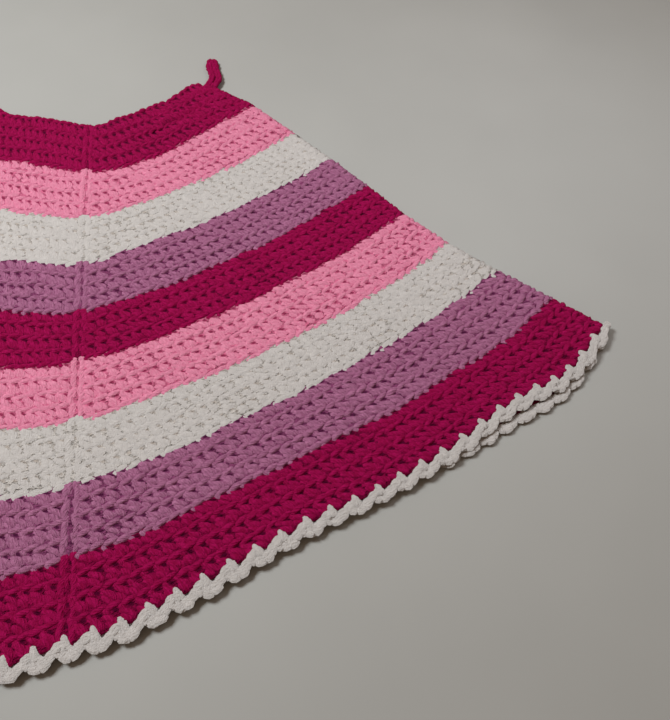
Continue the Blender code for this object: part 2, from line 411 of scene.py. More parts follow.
def smooth_rows(rows, count):
    """Points on a Catmull-Rom curve through the rows of a table."""
    points = np.array(rows, float)
    padded = np.vstack((2 * points[0] - points[1], points, 2 * points[-1] - points[-2]))
    places = np.linspace(0.0, len(points) - 1.0, count)
    first = np.minimum(places.astype(int), len(points) - 2)
    t = (places - first)[:, None]
    a, b, c, d = (padded[first + k] for k in range(4))
    return 0.5 * (2 * b + (c - a) * t + (2 * a - 5 * b + 4 * c - d) * t**2
                  + (3 * b - a - 3 * c + d) * t**3)


def unit(vectors):
    return vectors / np.maximum(np.linalg.norm(vectors, axis=-1, keepdims=True), SHORTEST)


class YarnMesh:
    """Collects tubes of yarn and makes one mesh of them."""

    def __init__(self, seed, fluff):
        self.points, self.corners, self.sizes, self.maps, self.ups = [], [], [], [], []
        self.fluff = fluff
        self.count = 0
        self.random = np.random.default_rng(seed)

    def add(self, centres, outward, radii, sides, flatten=1.0):
        """centres and outward are (strands, rings, 3), radii is (strands, rings)."""
        strands, rings = radii.shape
        radii = radii[..., None] * (1.0 + LUMPS * self.random.normal(size=(strands, rings, sides)))
        along = unit(np.gradient(centres, axis=1))
        sideways = unit(np.cross(along, outward))
        upward = np.cross(sideways, along)
        angles = 2 * math.pi * np.arange(sides) / sides
        across = (radii * np.cos(angles))[..., None] * sideways[..., None, :]
        over = (radii * np.sin(angles))[..., None] * upward[..., None, :] * flatten
        points = centres[..., None, :] + across + over
        points[..., 2] = np.maximum(points[..., 2], FLOOR_CLEARANCE)
        index = self.count + np.arange(strands * rings * sides).reshape(strands, rings, sides)
        turned = np.roll(index, -1, axis=2)
        quads = np.stack((index[:, :-1], index[:, 1:], turned[:, 1:], turned[:, :-1]), -1)
        lengths = np.linalg.norm(np.diff(centres, axis=1), axis=-1)
        run = np.concatenate((np.zeros((strands, 1)), np.cumsum(lengths, axis=1)), axis=1)
        start = self.count * BATCH_STEP + np.arange(strands)[:, None] * STRAND_STEP
        run = (run + start % 1.0)[..., None] * np.ones(sides)
        share = np.arange(sides) / sides * np.ones((strands, rings, 1))
        corner_map = np.stack((
            np.stack((run[:, :-1], share[:, :-1]), -1),
            np.stack((run[:, 1:], share[:, 1:]), -1),
            np.stack((run[:, 1:], share[:, 1:] + 1.0 / sides), -1),
            np.stack((run[:, :-1], share[:, :-1] + 1.0 / sides), -1),
        ), -2)
        caps = np.concatenate((index[:, 0], index[:, -1, ::-1]))
        self.points.append(points.reshape(-1, 3))
        self.ups.append((outward[..., None, :] * np.ones((sides, 1))).reshape(-1, 3))
        self.corners += [quads.reshape(-1), caps.reshape(-1)]
        self.sizes += [np.full(quads.size // 4, 4), np.full(len(caps), sides)]
        self.maps += [corner_map.reshape(-1, 2), np.zeros((caps.size, 2))]
        self.count += strands * rings * sides

    def build(self, name, material):
        """One object of all the tubes."""
        points = np.concatenate(self.points).astype(np.float32)
        corners = np.concatenate(self.corners).astype(np.int32)
        sizes = np.concatenate(self.sizes).astype(np.int32)
        starts = np.concatenate(([0], np.cumsum(sizes)[:-1])).astype(np.int32)
        mesh = bpy.data.meshes.new(name)
        mesh.vertices.add(len(points))
        mesh.vertices.foreach_set("co", points.ravel())
        mesh.loops.add(len(corners))
        mesh.loops.foreach_set("vertex_index", corners)
        mesh.polygons.add(len(sizes))
        mesh.polygons.foreach_set("loop_start", starts)
        mesh.polygons.foreach_set("loop_total", sizes)
        mesh.polygons.foreach_set("use_smooth", np.ones(len(sizes), bool))
        layer = mesh.uv_layers.new(name=STRAND_MAP)
        layer.data.foreach_set("uv", np.concatenate(self.maps).astype(np.float32).ravel())
        mesh.update(calc_edges=True)
        mesh.validate()
        self.soften(mesh)
        mesh.materials.append(material)
        obj = bpy.data.objects.new(name, mesh)
        bpy.context.scene.collection.objects.link(obj)
        return obj

    def soften(self, mesh):
        """Lean the shading towards the cloth's own direction, as loose fibres do."""
        normals = np.empty(len(mesh.vertices) * 3, np.float32)
        mesh.vertex_normals.foreach_get("vector", normals)
        leaned = normals.reshape(-1, 3) * (1.0 - self.fluff) + np.concatenate(self.ups) * self.fluff
        mesh.normals_split_custom_set_from_vertices(unit(leaned))


# ---------------------------------------------------------------- where the stitches go
def stitches_at(line):
    """Stitches from the centre line to the fold, at a rope line counted from the waist."""
    share = (line + 0.5) / ROUNDS
    return round(WAIST_STITCHES + (HEM_STITCHES - WAIST_STITCHES) * min(1.0, share))


def smoothstep(x):
    x = np.clip(x, 0.0, 1.0)
    return x * x * (3 - 2 * x)


def brick_shift(line, i, count):
    """How far every other round sits on. It fades out beside the centre lines."""
    fade = smoothstep(i / BRICK_FADE) * smoothstep((count - 1 - i) / BRICK_FADE)
    return BRICK_SHIFT * (line % 2) * fade


def stitch_starts(line):
    """around of each stitch's start and the around that one stitch takes, for a whole round."""
    quarter = stitches_at(line)
    count = 2 * quarter - 1
    width = (2 * quarter - 2 * MITRE_HALF) / count
    i = np.arange(count)
    places = (MITRE_HALF + i * width + brick_shift(line, i, count)) / quarter
    starts = np.concatenate((places, places + 2.0))
    return starts, 1.0 / quarter


def is_front(starts, pitch):
    """Which stitches go with the front piece."""
    middle = (starts + pitch / 2 + 1.0) % 4.0 - 1.0
    return middle <= 1.0 + pitch * FRONT_MARGIN


def wobble_down(line, across):
    """How many rounds lower a round lies than it would if it were even."""
    x = across * row_length(line / ROUNDS_PER_STRIPE)
    return slow_waves(WOBBLES, x, line * WOBBLE_DRIFT) * min(1.0, (ROUNDS - line) / WOBBLE_FADE)


def lay_strands(mesh, rows, rings, sides, line, starts, pitch, random, look):
    """Lay one strand of the chart for each start."""
    chart = named(STRAND_COLUMNS, smooth_rows(rows, rings))

    def uneven(column):
        return JITTER[column] * random.normal(size=(len(starts), 1))

    around = starts[:, None] + pitch * (chart["around"] + uneven("around"))
    down = chart["down"] + uneven("down")
    height = chart["height"] * look["relief"] + uneven("height")
    thickness = 1.0 + uneven("radius")
    across, _ = wrap(np.array(line / ROUNDS_PER_STRIPE), starts[:, None])
    level = (line + down + wobble_down(line, across)) / ROUNDS_PER_STRIPE
    centres, outward = tube_place(level, around, height * MILLIMETRE)
    mesh.add(centres, outward, chart["radius"] * MILLIMETRE * thickness * look["fullness"], sides,
             STRAND_FLATTEN)


def make_stripe_stitches(stripe, colour, material):
    """The yarn of one stripe: its stitches, and the rope line under each of its rounds."""
    random = np.random.default_rng(SEEDS["stitches"] + stripe)
    look = LOOKS[colour]
    front = YarnMesh(SEEDS["front_yarn"] + stripe, look["fluff"])
    back = YarnMesh(SEEDS["back_yarn"] + stripe, look["fluff"])
    for k in range(ROUNDS_PER_STRIPE):
        line = stripe * ROUNDS_PER_STRIPE + k
        lines = ((line, STITCH_STRANDS),)
        if line == 0:
            lines += ((0, CHAIN_STRANDS),)
        if line < ROUNDS - 1:
            lines += ((line + 1, CHAIN_STRANDS),)
        for place, chart in lines:
            starts, pitch = stitch_starts(place)
            ahead = is_front(starts, pitch)
            for name, rows in chart.items():
                lay_strands(front, rows, FRONT_RINGS[name], FRONT_SIDES, place,
                            starts[ahead], pitch, random, look)
                if name in BACK_RINGS:
                    lay_strands(back, rows, BACK_RINGS[name], BACK_SIDES, place,
                                starts[~ahead], pitch, random, look)
        pitch = 1.0 / stitches_at(line)
        for name, rows in MITRE_STRANDS.items():
            lay_strands(front, rows, MITRE_RINGS, FRONT_SIDES, line, np.array([0.0]), pitch,
                        random, look)
            lay_strands(back, rows, MITRE_RINGS, BACK_SIDES, line, np.array([2.0]), pitch,
                        random, look)
    return (front.build(f"stitches_front_{stripe + 1}_{colour}", material),
            back.build(f"stitches_back_{stripe + 1}_{colour}", material))


# ---------------------------------------------------------------- the ground under the stitches, painted in shade
CORE_INNER = 0.0005       # its faces' distances from the middle of the flattened tube
CORE_OUTER = 0.0027
CORE_COLUMNS = 30         # faces from the centre line to where the fold starts
CORE_FOLD_START = 0.97
CORE_FOLD_COLUMNS = 4
CORE_ROWS_PER_ROUND = 3
SLIVER = 1e-6             # keeps a column's end on its own side of a centre line
STITCH_MAP = "stitch"     # stitches before a point, and rounds above it


def stitch_count(line, around):
    """How many stitches of a round lie before a point, counted from the centre line before it."""
    quarter = stitches_at(line)
    count = 2 * quarter - 1
    i = ((around % 2.0) * quarter - MITRE_HALF) * count / (2 * quarter - 2 * MITRE_HALF)
    return i - brick_shift(line, i, count)


def core_stations():
    """around of the ground's columns, from the centre front all the way round to it again."""
    flat = np.linspace(0.0, CORE_FOLD_START, CORE_COLUMNS, endpoint=False)
    fold = np.linspace(CORE_FOLD_START, 1.0, CORE_FOLD_COLUMNS, endpoint=False)
    quarter = np.concatenate((flat, fold))
    half = np.concatenate((quarter, 2.0 - np.concatenate(([1.0], quarter[:0:-1]))))
    return np.concatenate((half, half + 2.0))


def make_core(stripe, colour, material):
    """The ground of one stripe: a closed ring under the stitches, with their places as its map."""
    name = f"cloth_{stripe + 1}_{colour}"
    around = core_stations()
    steps = ROUNDS_PER_STRIPE * CORE_ROWS_PER_ROUND
    levels = np.linspace(stripe, stripe + 1.0, steps + 1)
    grid_level, grid_around = np.meshgrid(levels, around, indexing="ij")
    outer, _ = tube_place(grid_level, grid_around, CORE_OUTER)
    inner, _ = tube_place(grid_level, grid_around, CORE_INNER)
    rings = np.concatenate((outer, inner[::-1]))
    rows, columns = rings.shape[:2]
    index = np.arange(rows * columns).reshape(rows, columns)
    below = np.roll(index, -1, axis=0)
    faces = np.stack((index, below, np.roll(below, -1, axis=1), np.roll(index, -1, axis=1)), -1)
    mesh = bpy.data.meshes.new(name)
    mesh.from_pydata(rings.reshape(-1, 3), [], faces.reshape(-1, 4).tolist())
    mesh.polygons.foreach_set("use_smooth", np.ones(len(mesh.polygons), bool))
    ends = np.append(around[1:], 4.0)
    places = np.zeros((rows, columns, 4, 2))
    for row in range(steps):
        line = stripe * ROUNDS_PER_STRIPE + row // CORE_ROWS_PER_ROUND
        left = stitch_count(line, around)
        right = stitch_count(line, ends - SLIVER)
        down = line + (row % CORE_ROWS_PER_ROUND + np.array((0, 1, 1, 0))) / CORE_ROWS_PER_ROUND
        places[row, :, :, 0] = np.stack((left, left, right, right), -1)
        places[row, :, :, 1] = down
    layer = mesh.uv_layers.new(name=STITCH_MAP)
    layer.data.foreach_set("uv", places.ravel())
    # The ground's material paints it in shade between the stitches, with painted shadow in the
    # holes
    mesh.materials.append(material)
    mesh.update()
    obj = bpy.data.objects.new(name, mesh)
    bpy.context.scene.collection.objects.link(obj)
    return obj


# ---------------------------------------------------------------- chains
# One link of a chain: two strands that leave the last link's middle, swell and close. along is in
# links, out in half widths, height and radius in half thicknesses
LINK_COLUMNS = ("along", "out", "height", "radius")
LINK_STRAND = (
    (-0.30, 0.08, -0.30, 0.60),
    (0.05, 0.28, 0.05, 0.90),
    (0.40, 0.40, 0.15, 1.05),
    (0.75, 0.40, 0.12, 1.05),
    (1.04, 0.24, -0.05, 0.85),
    (1.18, 0.06, -0.40, 0.60),
)
LINK_RINGS = 7
LINK_JITTER = 0.02        # links
LINK_UNEVENNESS = 0.05    # share of a strand's width
LINK_HEADING = 0.1        # links each way over which the route's direction is taken
UP = np.array((0.0, 0.0, 1.0))


def make_chain(mesh, route, link, half_width, half_thickness, random, shares):
    """Chain stitches along a route of many points, one for each length of link. shares thins the
    chain along the route."""
    steps = np.linalg.norm(np.diff(route, axis=0), axis=1)
    travelled = np.concatenate(([0.0], np.cumsum(steps)))
    count = max(2, round(travelled[-1] / link))
    link = travelled[-1] / count
    chart = named(LINK_COLUMNS, smooth_rows(LINK_STRAND, LINK_RINGS))

    def place(distance):
        return np.stack([np.interp(distance, travelled, route[:, k]) for k in range(3)], -1)

    for side in (-1.0, 1.0):
        start = np.arange(count)[:, None]
        along = (start + chart["along"] + LINK_JITTER * random.normal(size=(count, 1))) * link
        along = np.clip(along, 0.0, travelled[-1])
        ahead = place(along + link * LINK_HEADING) - place(along - link * LINK_HEADING)
        sideways = unit(np.cross(unit(ahead), UP))
        wobble = 1.0 + LINK_UNEVENNESS * random.normal(size=(count, 1))
        share = np.interp(along, travelled, shares)
        aside = side * half_width * chart["out"] * wobble * share
        height = half_thickness * chart["height"] * share
        centres = place(along) + sideways * aside[..., None] + UP * height[..., None]
        radii = chart["radius"] * half_thickness * wobble * share
        mesh.add(centres, np.broadcast_to(UP, centres.shape), radii, FRONT_SIDES)


# ---------------------------------------------------------------- edging
EDGING_LINK = 0.0046      # metres, as the next two are
EDGING_HALF_WIDTH = 0.0026
EDGING_HALF_THICKNESS = 0.0018
EDGING_RINGS = 40
EDGING_REST = 0.0016      # how much higher the front loops lie where the back ones are under them
BACK_EDGING_DROP = 0.0017 # the least that the back loops lie below the middle of the skirt
EDGING_PITCH = 15.0       # millimetres of the chart that one loop's share of the hem takes
# One loop of the edging, from the stitch that it leaves to the stitch that it is caught into: along
# the hem, out of it and above the middle of the skirt, in millimetres, and its share of full width
EDGING_COLUMNS = ("along", "out", "height", "share")
EDGING_ROWS = (
    (-4.4, -0.8, 2.2, 0.90),
    (-3.8, 1.7, 1.8, 1.05),
    (-1.8, 3.9, 0.8, 1.20),
    (1.4, 4.8, 0.1, 1.28),
    (4.2, 4.4, 0.4, 1.22),
    (6.9, 3.1, 1.4, 1.05),
    (9.6, 1.2, 2.4, 0.90),
    (12.0, -0.2, 3.0, 0.84),
    (13.8, -1.1, 3.0, 0.84),
    (15.2, -0.5, 2.4, 0.96),
    (16.2, 1.4, 1.4, 1.00),
)
EDGING_MIDDLE_RINGS = 17  # a strand along the chain's middle, that fills it out
# The bit of yarn that stands up where a loop is caught, all in millimetres
FIN_COLUMNS = ("along", "out", "height", "radius")
FIN_ROWS = (
    (-0.1, -4.8, 2.7, 1.15),
    (0.1, -3.7, 3.1, 1.65),
    (0.5, -1.8, 3.2, 1.80),
    (1.3, 0.4, 2.6, 1.75),
    (2.4, 2.6, 0.6, 1.60),
)
FIN_RINGS = 7
# The loops are caught tighter towards the folds, where they and their fins swing less
TIGHT_START = 0.15        # across, where the tightening starts
TIGHT_REACH = 0.35        # how much further across it is complete
TIGHT_LEVEL = 2.6         # millimetres out of the hem
LOOP_EASE = 0.36          # shares of the swing that the tightening takes
FIN_EASE = 0.17


def hem_frame(across, back):
    """Points of the hem and the directions straight out of it, taken over half a loop."""
    def place(v):
        x, y = row_point(np.full_like(v, float(STRIPES)), v)
        return np.stack((x, y + (back_shift(float(STRIPES), v) if back else 0.0) + SHIFT_Y), -1)

    step = 0.5 / LOOPS_PER_LAYER
    along = unit(place(np.minimum(1.0, across + step)) - place(np.maximum(-1.0, across - step)))
    return place(across), np.stack((along[:, 1], -along[:, 0]), -1)


def edging_route(chart, start, back):
    """Points of one piece of the edging's chart, laid from a place along the hem."""
    across = np.clip(start + chart["along"] / EDGING_PITCH * 2.0 / LOOPS_PER_LAYER, -1.0, 1.0)
    point, out = hem_frame(across, back)
    flat = point + out * chart["out"][:, None] * MILLIMETRE
    height = chart["height"] * MILLIMETRE
    if back:
        height = -np.maximum(height, BACK_EDGING_DROP)
    else:
        height = height + EDGING_REST * np.clip(-back_shift(STRIPES, across) / BACK_PEEK, 0.0, 1.0)
    return np.column_stack((flat, FOLD_RADIUS + height))


def eased(chart, start, ease):
    """A piece of the edging that swings less where the loops are tight."""
    tightness = smoothstep((abs(start) - TIGHT_START) / TIGHT_REACH)
    out = TIGHT_LEVEL + (chart["out"] - TIGHT_LEVEL) * (1.0 - ease * tightness)
    return {**chart, "out": out}


def make_edging(name, back, material):
    """Chain loops round the hem, each caught into the last round. Only the front's have fins that
    show."""
    random = np.random.default_rng(SEEDS["edging"] + back)
    mesh = YarnMesh(SEEDS["edging_yarn"] + back, LOOKS["white"]["fluff"])
    loop = named(EDGING_COLUMNS, smooth_rows(EDGING_ROWS, EDGING_RINGS))
    middle = named(EDGING_COLUMNS, smooth_rows(EDGING_ROWS, EDGING_MIDDLE_RINGS))
    fin = named(FIN_COLUMNS, smooth_rows(FIN_ROWS, FIN_RINGS))
    for start in np.linspace(-1.0, 1.0, LOOPS_PER_LAYER, endpoint=False):
        route = edging_route(eased(loop, start, LOOP_EASE), start, back)
        make_chain(mesh, route, EDGING_LINK, EDGING_HALF_WIDTH, EDGING_HALF_THICKNESS, random,
                   loop["share"])
        strands = [(eased(middle, start, LOOP_EASE), middle["share"] * EDGING_HALF_THICKNESS)]
        if not back:
            strands.append((eased(fin, start, FIN_EASE), fin["radius"] * MILLIMETRE))
        for chart, radii in strands:
            route = edging_route(chart, start, back)
            mesh.add(route[None], np.broadcast_to(UP, route.shape)[None], radii[None], FRONT_SIDES)
    return mesh.build(name, material)


# ---------------------------------------------------------------- waist loop
LOOP_LINK = 0.0054
LOOP_HALF_WIDTH = 0.0029
LOOP_HALF_THICKNESS = 0.0019
LOOP_POINTS = 160


def make_waist_loop(material):
    mesh = YarnMesh(SEEDS["loop_yarn"], LOOKS["magenta"]["fluff"])
    route = smooth_rows(LOOP_ROUTE, LOOP_POINTS) * MILLIMETRE + np.array((0.0, SHIFT_Y, 0.0))
    make_chain(mesh, route, LOOP_LINK, LOOP_HALF_WIDTH, LOOP_HALF_THICKNESS,
               np.random.default_rng(SEEDS["loop"]), np.ones(LOOP_POINTS))
    return mesh.build("chain_loop", material)


# ---------------------------------------------------------------- materials
STREAK_DEPTH = 0.0004     # how deep the bumps go, metres
FIBRE_DEPTH = 0.0006
HATCH_DEPTH = 0.0010
DYE_DARK = 0.88           # how far the dye varies, as shares of the yarn's colour
DYE_LIGHT = 1.10
# Painted shade in the hollows and painted light on the crests of the ground's hatched strands
HATCH_DARK = 0.80
HATCH_LIGHT = 1.20
GROUND_FIBRE = 0.6        # how far loose fibres shade the ground
GROUND_FIBRE_SHADE = 0.7  # the share of its colour that they leave
GROUND_HATCH_BUMP = 0.9
GROUND_FIBRE_BUMP = 0.8
RICHNESS = 1.3            # above 1, a colour gets richer as it gets darker
# Below the first a mask is 0, and above the second it is 1
STREAK_EDGES = (0.36, 0.60)
TOP_EDGES = (-0.10, 0.60)
FUZZ_EDGES = (0.3, 0.7)
# The soft, unshiny surface that loose acrylic fibres have, and the smoother one of the table
FIBROUS = {"Roughness": 0.85, "Sheen Weight": 0.20, "Sheen Roughness": 0.45,
           "Specular IOR Level": 0.06}
SHEEN_LIFT = 0.04
TABLE_FINISH = {"Roughness": 0.55, "Specular IOR Level": 0.3}
TABLE_DARK = (0.400, 0.403, 0.400)
TABLE_LIGHT = (0.430, 0.433, 0.430)
TABLE_GRAIN = {"Fibre Scale": 300.0, "Mottle Scale": 6.0}

# Painted shadow: a hole under the rope line and the slit beside a stitch, painted dark, in stitches
# and rounds
SPOT_COLUMNS = ("around", "down", "half_width", "half_height", "slant", "darkness")
SPOT_ROWS = (
    (0.60, 0.23, 0.24, 0.10, 0.25, 1.0),
    (0.98, 0.50, 0.08, 0.18, 0.10, 0.6),
)
SPOT_REACH = 1.4          # squared, in half widths, before the edge is frayed
SPOT_NOISE = 6.0
HATCH_SLANT = 30.0        # degrees
HATCH_SCALE = (1.6, 7.0, 1.0)


def set_input(links, socket, value):
    """Give a socket a number or a colour, or link it to what another node puts out."""
    if isinstance(value, tuple):
        socket.default_value = (*value, 1.0)
    elif isinstance(value, (int, float)):
        socket.default_value = value
    else:
        links.new(value, socket)


def math_node(nodes, links, operation, *values):
    node = nodes.new("ShaderNodeMath")
    node.operation = operation
    for socket, value in zip(node.inputs, values):
        set_input(links, socket, value)
    return node.outputs[0]


def mix_colour(nodes, links, fac, a, b):
    node = nodes.new("ShaderNodeMix")
    node.data_type = "RGBA"
    for socket, value in ((node.inputs["Factor"], fac), (node.inputs[6], a), (node.inputs[7], b)):
        set_input(links, socket, value)
    return node.outputs[2]


def new_group(name, inputs, outputs):
    """A shader node group with its named sockets, and its input and output nodes."""
    group = bpy.data.node_groups.new(name, "ShaderNodeTree")
    for label, value in inputs.items():
        socket = group.interface.new_socket(name=label, in_out="INPUT",
                                            socket_type="NodeSocketFloat")
        socket.default_value = value
    for label in outputs:
        group.interface.new_socket(name=label, in_out="OUTPUT", socket_type="NodeSocketFloat")
    return group, group.nodes.new("NodeGroupInput"), group.nodes.new("NodeGroupOutput")


def map_parts(nodes, links, name):
    """A map of the mesh, and its two parts each on its own."""
    layer = nodes.new("ShaderNodeUVMap")
    layer.uv_map = name
    split = nodes.new("ShaderNodeSeparateXYZ")
    links.new(layer.outputs["UV"], split.inputs[0])
    return layer.outputs["UV"], split.outputs[0], split.outputs[1]


def spread(nodes, links, value, low, high):
    """0 where the value is low or less, 1 where it is high or more."""
    node = nodes.new("ShaderNodeMapRange")
    for label, number in (("Value", value), ("From Min", low), ("From Max", high)):
        set_input(links, node.inputs[label], number)
    return node.outputs["Result"]


def noise_node(nodes, links, place, scale, detail):
    node = nodes.new("ShaderNodeTexNoise")
    for label, value in (("Vector", place), ("Scale", scale), ("Detail", detail)):
        set_input(links, node.inputs[label], value)
    return node.outputs["Fac"]


def yarn_streak_group():
    """Fine fibres that wind round a strand. Streak is 1 on a fibre and 0 beside it, in the hollow
    that gets painted shade. Top is 1 along the strand's top and 0 down its sides, which get painted
    shade."""
    group, start, end = new_group("yarn_streaks",
                                  {"Streaks": 12.0, "Pitch": 0.018, "Streak Length": 0.0045},
                                  ("Streak", "Top"))
    nodes, links = group.nodes, group.links
    _, run, share = map_parts(nodes, links, STRAND_MAP)
    turns = math_node(nodes, links, "DIVIDE", run, start.outputs["Pitch"])
    turns = math_node(nodes, links, "ADD", share, turns)
    beside = math_node(nodes, links, "MULTIPLY", turns, start.outputs["Streaks"])
    along = math_node(nodes, links, "DIVIDE", run, start.outputs["Streak Length"])
    place = nodes.new("ShaderNodeCombineXYZ")
    links.new(beside, place.inputs[0])
    links.new(along, place.inputs[1])
    noise = noise_node(nodes, links, place.outputs[0], scale=1.0, detail=1.0)
    links.new(spread(nodes, links, noise, *STREAK_EDGES), end.inputs["Streak"])
    angle = math_node(nodes, links, "MULTIPLY", share, 2 * math.pi)
    top = spread(nodes, links, math_node(nodes, links, "SINE", angle), *TOP_EDGES)
    top.node.interpolation_type = "SMOOTHSTEP"
    links.new(top, end.inputs["Top"])
    return group


def yarn_fuzz_group():
    """Loose fibres and uneven dye. Fibre is fine and Mottle is slow, both round 0.5."""
    group, start, end = new_group("yarn_fuzz", {"Fibre Scale": 1200.0, "Mottle Scale": 260.0},
                                  ("Fibre", "Mottle"))
    nodes, links = group.nodes, group.links
    place = nodes.new("ShaderNodeTexCoord").outputs["Object"]
    for scale, detail, output in (("Fibre Scale", 2.0, "Fibre"), ("Mottle Scale", 3.0, "Mottle")):
        noise = noise_node(nodes, links, place, start.outputs[scale], detail)
        links.new(spread(nodes, links, noise, *FUZZ_EDGES), end.inputs[output])
    return group


def hole_group():
    """Where the ground is a hole and gets painted shadow: 1 in it, 0 out of it. Edge Noise frays
    its edge.
    """
    group, start, end = new_group("stitch_hole_shadows", {"Edge Noise": 0.5}, ("Hole",))
    nodes, links = group.nodes, group.links
    place, around, down = map_parts(nodes, links, STITCH_MAP)
    fray = noise_node(nodes, links, place, scale=SPOT_NOISE, detail=2.0)
    fray = math_node(nodes, links, "SUBTRACT", fray, 0.5)
    fray = math_node(nodes, links, "MULTIPLY", fray, start.outputs["Edge Noise"])
    hole_shadow = None
    for spot in records(SPOT_COLUMNS, SPOT_ROWS):
        # right and low are how far a point lies from the middle of its stitch's spot
        right = math_node(nodes, links, "SUBTRACT", around, spot["around"] - 0.5)
        right = math_node(nodes, links, "FRACT", right)
        right = math_node(nodes, links, "SUBTRACT", right, 0.5)
        low = math_node(nodes, links, "FRACT", down)
        low = math_node(nodes, links, "SUBTRACT", low, spot["down"])
        tilt = math_node(nodes, links, "MULTIPLY", right, spot["slant"])
        low = math_node(nodes, links, "SUBTRACT", low, tilt)
        right = math_node(nodes, links, "DIVIDE", right, spot["half_width"])
        right = math_node(nodes, links, "POWER", right, 2.0)
        low = math_node(nodes, links, "DIVIDE", low, spot["half_height"])
        low = math_node(nodes, links, "POWER", low, 2.0)
        far = math_node(nodes, links, "ADD", math_node(nodes, links, "ADD", right, low), fray)
        near = math_node(nodes, links, "SUBTRACT", SPOT_REACH, far)
        near.node.use_clamp = True
        near = math_node(nodes, links, "MULTIPLY", near, spot["darkness"])
        hole_shadow = near if hole_shadow is None else math_node(nodes, links, "MAXIMUM", hole_shadow, near)
    links.new(hole_shadow, end.inputs["Hole"])
    return group


def hatch_group():
    """Slanted strands between the stitches, for painted light on their crests and painted shade in
    their hollows. Strand is 1 on a strand and 0 beside it.
    """
    group, start, end = new_group("ground_hatch", {"Hollow": 0.38, "Crest": 0.60}, ("Strand",))
    nodes, links = group.nodes, group.links
    slant = nodes.new("ShaderNodeMapping")
    slant.inputs["Rotation"].default_value = (0.0, 0.0, math.radians(HATCH_SLANT))
    slant.inputs["Scale"].default_value = HATCH_SCALE
    place, _, _ = map_parts(nodes, links, STITCH_MAP)
    links.new(place, slant.inputs["Vector"])
    noise = noise_node(nodes, links, slant.outputs["Vector"], scale=1.0, detail=1.0)
    strand = spread(nodes, links, noise, start.outputs["Hollow"], start.outputs["Crest"])
    links.new(strand, end.inputs["Strand"])
    return group


def shaded(colour, factor, lift=0.0):
    return tuple(min(1.0, channel * factor + lift) for channel in colour)


def deepened(colour, factor):
    """The colour of painted shade: darker and richer, as where light has passed through more of the
    yarn.
    """
    return tuple(factor * channel**RICHNESS for channel in colour)


def shader_of(name):
    material = bpy.data.materials.new(name)
    material.use_nodes = True
    nodes = material.node_tree.nodes
    return material, nodes, material.node_tree.links, nodes["Principled BSDF"]


def use_group(nodes, group):
    node = nodes.new("ShaderNodeGroup")
    node.node_tree = group
    return node


def bump(nodes, links, height, strength, distance, normal=None):
    node = nodes.new("ShaderNodeBump")
    node.inputs["Strength"].default_value = strength
    node.inputs["Distance"].default_value = distance
    links.new(height, node.inputs["Height"])
    if normal:
        links.new(normal, node.inputs["Normal"])
    return node.outputs["Normal"]


def set_finish(shader, finish):
    for label, value in finish.items():
        shader.inputs[label].default_value = value


def yarn_material(colour, groups):
    """Soft acrylic yarn: winding fibres, fuzz, uneven dye, painted shade in the fibres' hollows and
    down each strand's sides, and a fibrous sheen.
    """
    yarn = YARNS[colour]
    look = LOOKS[colour]
    material, nodes, links, shader = shader_of(f"yarn_{colour}")
    strand = use_group(nodes, groups["streaks"])
    streaks = strand.outputs["Streak"]
    fuzz = use_group(nodes, groups["fuzz"])
    dyed = mix_colour(nodes, links, fuzz.outputs["Mottle"], shaded(yarn, DYE_DARK),
                      shaded(yarn, DYE_LIGHT))
    # Painted shade: the hollows beside the fibres are painted in a darker, richer copy of the yarn
    crevice_shade = math_node(nodes, links, "SUBTRACT", 1.0, streaks)
    crevice_shade = math_node(nodes, links, "MULTIPLY", crevice_shade, look["streak_colour"])
    streaked = mix_colour(nodes, links, crevice_shade, dyed, deepened(yarn, look["streak_shade"]))
    worn = math_node(nodes, links, "MULTIPLY", fuzz.outputs["Fibre"], look["fibre_colour"])
    fuzzy = mix_colour(nodes, links, worn, streaked, shaded(yarn, look["fibre_shade"]))
    # Painted shade: each strand's sides, away from its top, are painted in the ground's shaded
    # colour
    side = math_node(nodes, links, "SUBTRACT", 1.0, strand.outputs["Top"])
    side = math_node(nodes, links, "MULTIPLY", side, look["side_shade"])
    between, _ = SHADED_GROUNDS[colour]
    links.new(mix_colour(nodes, links, side, fuzzy, between), shader.inputs["Base Color"])
    normal = bump(nodes, links, streaks, look["streak_bump"], STREAK_DEPTH)
    normal = bump(nodes, links, fuzz.outputs["Fibre"], look["fibre_bump"], FIBRE_DEPTH, normal)
    links.new(normal, shader.inputs["Normal"])
    set_finish(shader, FIBROUS)
    shader.inputs["Sheen Tint"].default_value = (*shaded(yarn, 1.0, SHEEN_LIFT), 1.0)
    return material


